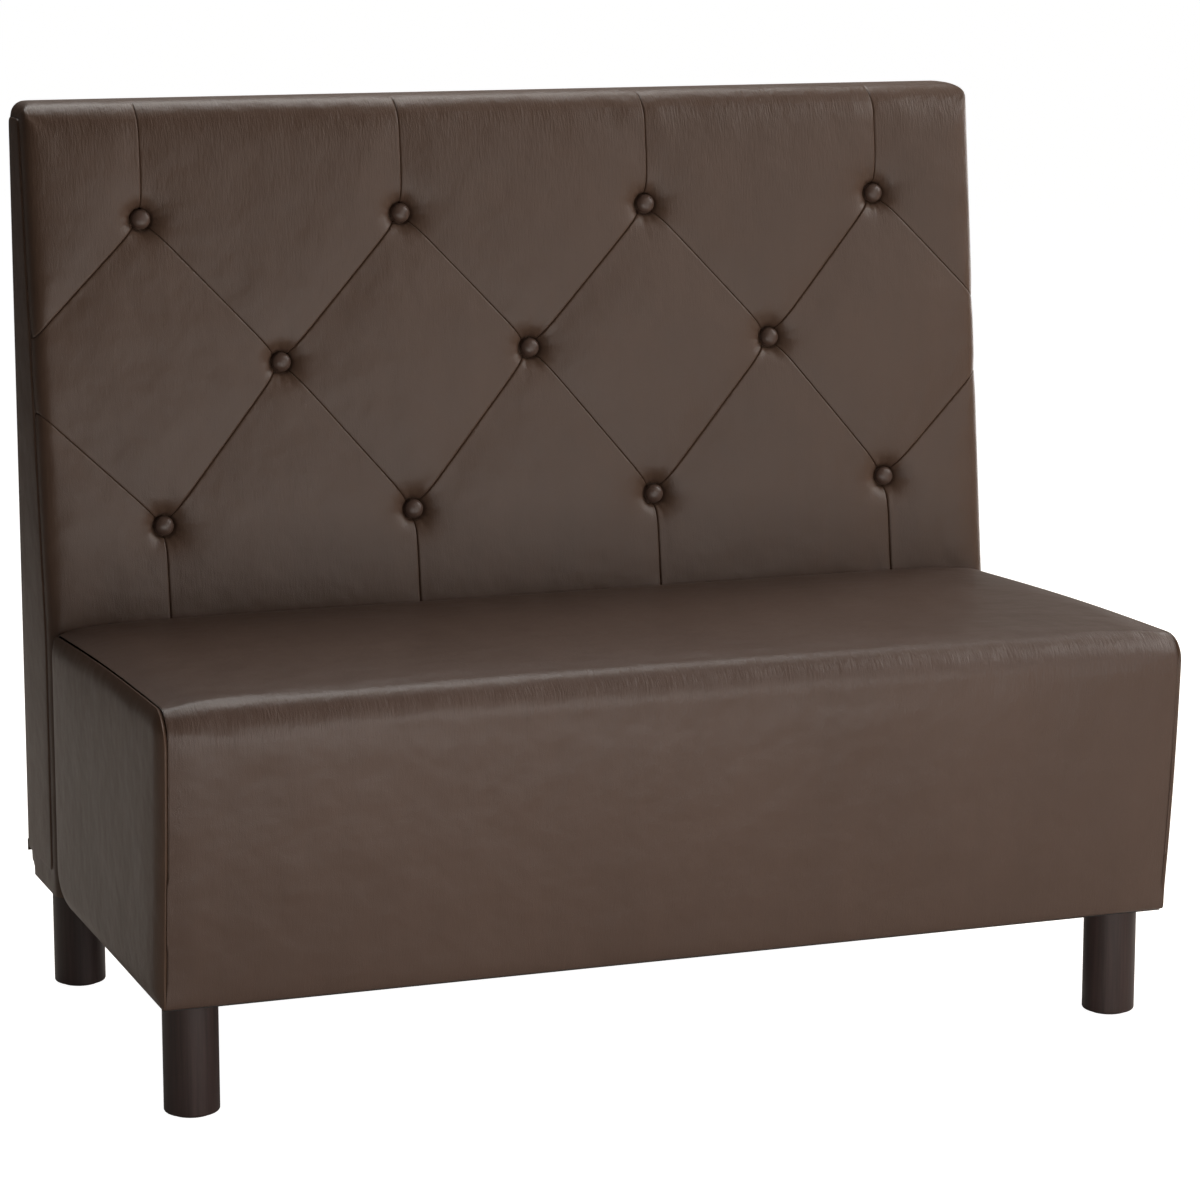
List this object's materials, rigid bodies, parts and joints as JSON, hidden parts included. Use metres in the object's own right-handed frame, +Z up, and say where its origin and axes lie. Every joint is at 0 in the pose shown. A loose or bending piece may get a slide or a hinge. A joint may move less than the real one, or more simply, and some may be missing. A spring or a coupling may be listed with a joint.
{
  "type": "upholstered bench",
  "caption": "Upholstered bench: a crowned box seat on plain round screw-in legs, with a full-width leaning back pulled in by covered buttons and diamond folds.",
  "frame": {"origin": "on the floor, under the middle of the whole bench", "axes": "+X along the bench to the right as seen from its front, +Y from the front to the rear, +Z up"},
  "size_m": [1.208, 0.685, 1.055],
  "materials": {
    "leatherette": "satin",
    "lining_cloth": "matte",
    "foam": "matte",
    "felt": "matte",
    "webbing": "matte",
    "dust_cloth": "matte",
    "panel_board": "matte",
    "frame_wood": "matte",
    "leg_wood": "satin",
    "plated_steel": "satin",
    "glide_plastic": "matte",
    "twine": "matte"
  },
  "bodies": {
    "root": {"seat_cover": "leatherette", "seat_side_cover_left": "leatherette", "seat_side_cover_right": "leatherette", "seat_foam": "foam", "seat_front_pad": "foam", "seat_side_pad_left": "foam", "seat_side_pad_right": "foam", "seat_front_panel": "panel_board", "seat_rear_panel": "panel_board", "seat_heel_board": "panel_board", "seat_side_panel_left": "panel_board", "seat_side_panel_right": "panel_board", "seat_middle_rib": "panel_board", "seat_corner_blocks": "frame_wood", "webbing_front_to_back": "webbing", "webbing_side_to_side": "webbing", "seat_felt": "felt", "seat_dust_cover": "dust_cloth", "front_leg_plates": "frame_wood", "back_cover": "leatherette", "back_side_cover_left": "leatherette", "back_side_cover_right": "leatherette", "rear_lining": "lining_cloth", "rear_hem_band": "lining_cloth", "back_foam": "foam", "tufting_board": "panel_board", "lower_board": "panel_board", "back_post_left": "frame_wood", "back_post_right": "frame_wood", "back_inner_post_left": "frame_wood", "back_inner_post_right": "frame_wood", "back_top_rail": "frame_wood", "back_middle_rails": "frame_wood", "back_bottom_rail": "frame_wood", "back_dust_cover": "dust_cloth", "buttons_top_row": "leatherette", "buttons_middle_row": "leatherette", "buttons_bottom_row": "leatherette", "button_twines": "twine", "twine_washers": "plated_steel", "joining_bolts": "plated_steel", "joining_washers": "plated_steel", "joining_tee_nuts": "plated_steel", "leg_tee_nuts": "plated_steel"},
    "bolt_front_left": {"hanger_bolt_front_left": "plated_steel"},
    "leg_front_left": {"leg_front_left": "leg_wood", "glide_front_left": "glide_plastic"},
    "bolt_front_right": {"hanger_bolt_front_right": "plated_steel"},
    "leg_front_right": {"leg_front_right": "leg_wood", "glide_front_right": "glide_plastic"},
    "bolt_rear_left": {"hanger_bolt_rear_left": "plated_steel"},
    "leg_rear_left": {"leg_rear_left": "leg_wood", "glide_rear_left": "glide_plastic"},
    "bolt_rear_right": {"hanger_bolt_rear_right": "plated_steel"},
    "leg_rear_right": {"leg_rear_right": "leg_wood", "glide_rear_right": "glide_plastic"}
  },
  "joints": [
    {"name": "front_left_travel", "type": "slide", "parent": "root", "child": "bolt_front_left", "axis": [0, 0, -1], "range_m": [0, 0.0025]},
    {"name": "front_left_turn", "type": "hinge", "parent": "bolt_front_left", "child": "leg_front_left", "pos_m": [-0.5542, -0.2516, 0], "axis": [0, 0, -1], "range_deg": [0, 720]},
    {"name": "front_right_travel", "type": "slide", "parent": "root", "child": "bolt_front_right", "axis": [0, 0, -1], "range_m": [0, 0.0025]},
    {"name": "front_right_turn", "type": "hinge", "parent": "bolt_front_right", "child": "leg_front_right", "pos_m": [0.5542, -0.2516, 0], "axis": [0, 0, -1], "range_deg": [0, 720]},
    {"name": "rear_left_travel", "type": "slide", "parent": "root", "child": "bolt_rear_left", "axis": [0, 0, -1], "range_m": [0, 0.0025]},
    {"name": "rear_left_turn", "type": "hinge", "parent": "bolt_rear_left", "child": "leg_rear_left", "pos_m": [-0.5542, 0.2843, 0], "axis": [0, 0, -1], "range_deg": [0, 720]},
    {"name": "rear_right_travel", "type": "slide", "parent": "root", "child": "bolt_rear_right", "axis": [0, 0, -1], "range_m": [0, 0.0025]},
    {"name": "rear_right_turn", "type": "hinge", "parent": "bolt_rear_right", "child": "leg_rear_right", "pos_m": [0.5542, 0.2843, 0], "axis": [0, 0, -1], "range_deg": [0, 720]}
  ],
  "couplings": [
    {"joint": "front_left_travel", "follows": "front_left_turn", "m_per_rad": 0.00019894},
    {"joint": "front_right_travel", "follows": "front_right_turn", "m_per_rad": 0.00019894},
    {"joint": "rear_left_travel", "follows": "rear_left_turn", "m_per_rad": 0.00019894},
    {"joint": "rear_right_travel", "follows": "rear_right_turn", "m_per_rad": 0.00019894}
  ]
}
